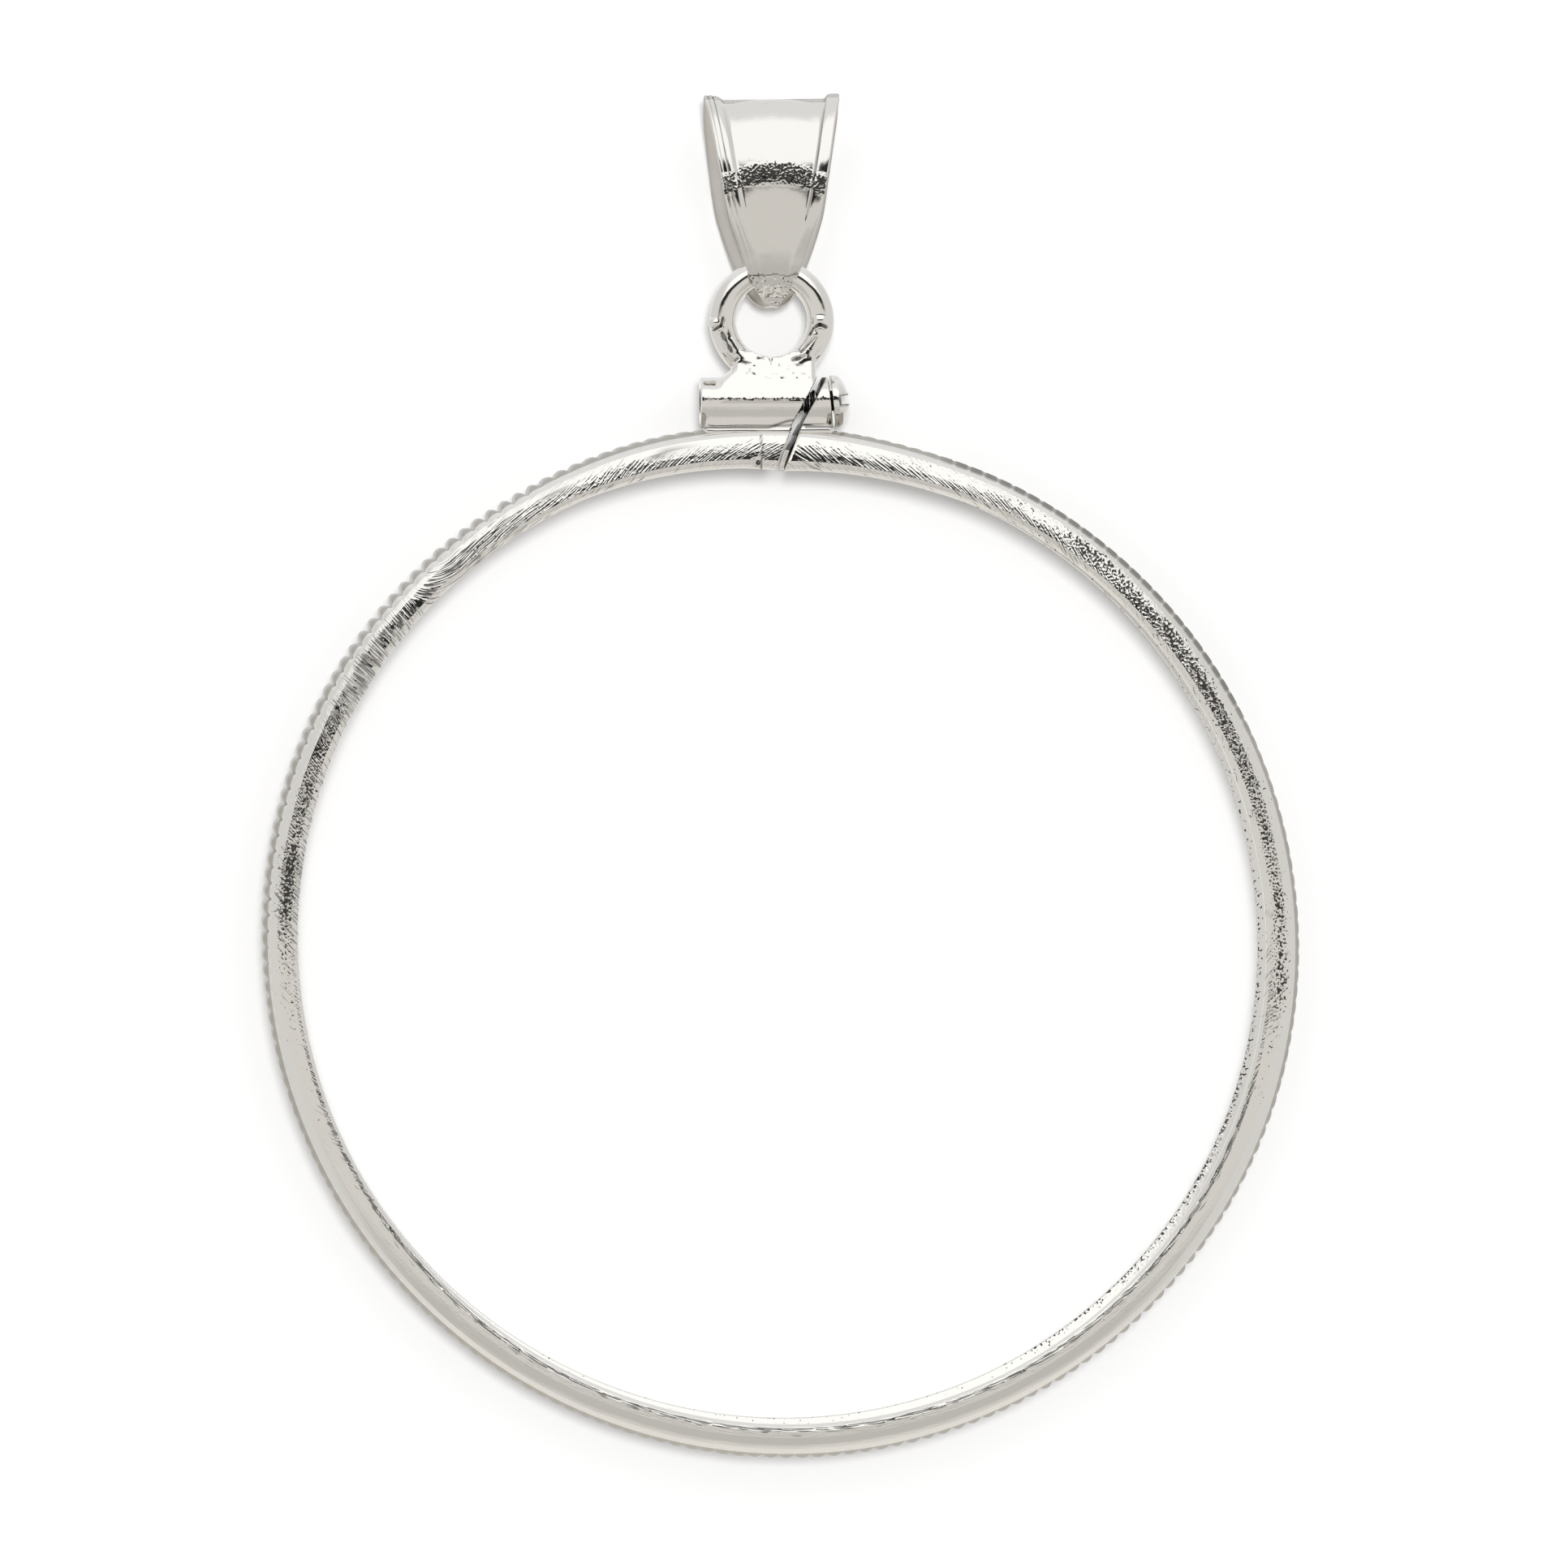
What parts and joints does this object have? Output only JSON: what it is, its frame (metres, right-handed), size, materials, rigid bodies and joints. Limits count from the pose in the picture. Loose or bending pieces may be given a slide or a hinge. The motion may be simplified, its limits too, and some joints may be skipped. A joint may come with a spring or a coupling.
{
  "type": "screw-top coin bezel",
  "caption": "Round coin bezel in polished silver: a channel frame with rounded lips and a scalloped edge, closed by a barrel and screw, with a loop and a folded bail.",
  "frame": {"origin": "centre of the coin's place: on the ring's axis, half way through its thickness", "axes": "+Y runs up from the ring through the barrel and the loop to the bail, +Z is the face's outward normal, +X runs to the screw's head"},
  "size_m": [0.0428, 0.0564, 0.004],
  "materials": {
    "polished_silver": "polished"
  },
  "bodies": {
    "frame": {"bezel_frame": "polished_silver"},
    "screw": {"clamp_screw": "polished_silver"},
    "bail": {"bail": "polished_silver"}
  },
  "joints": [
    {"name": "bail_swing", "type": "hinge", "parent": "frame", "child": "bail", "pos_m": [-0.00036, 0.02763, 0], "axis": [1, 0, 0], "range_deg": [-30, 50]},
    {"name": "screw_out", "type": "slide", "parent": "frame", "child": "screw", "axis": [1, 0, 0], "range_m": [0, 0.0048]}
  ]
}
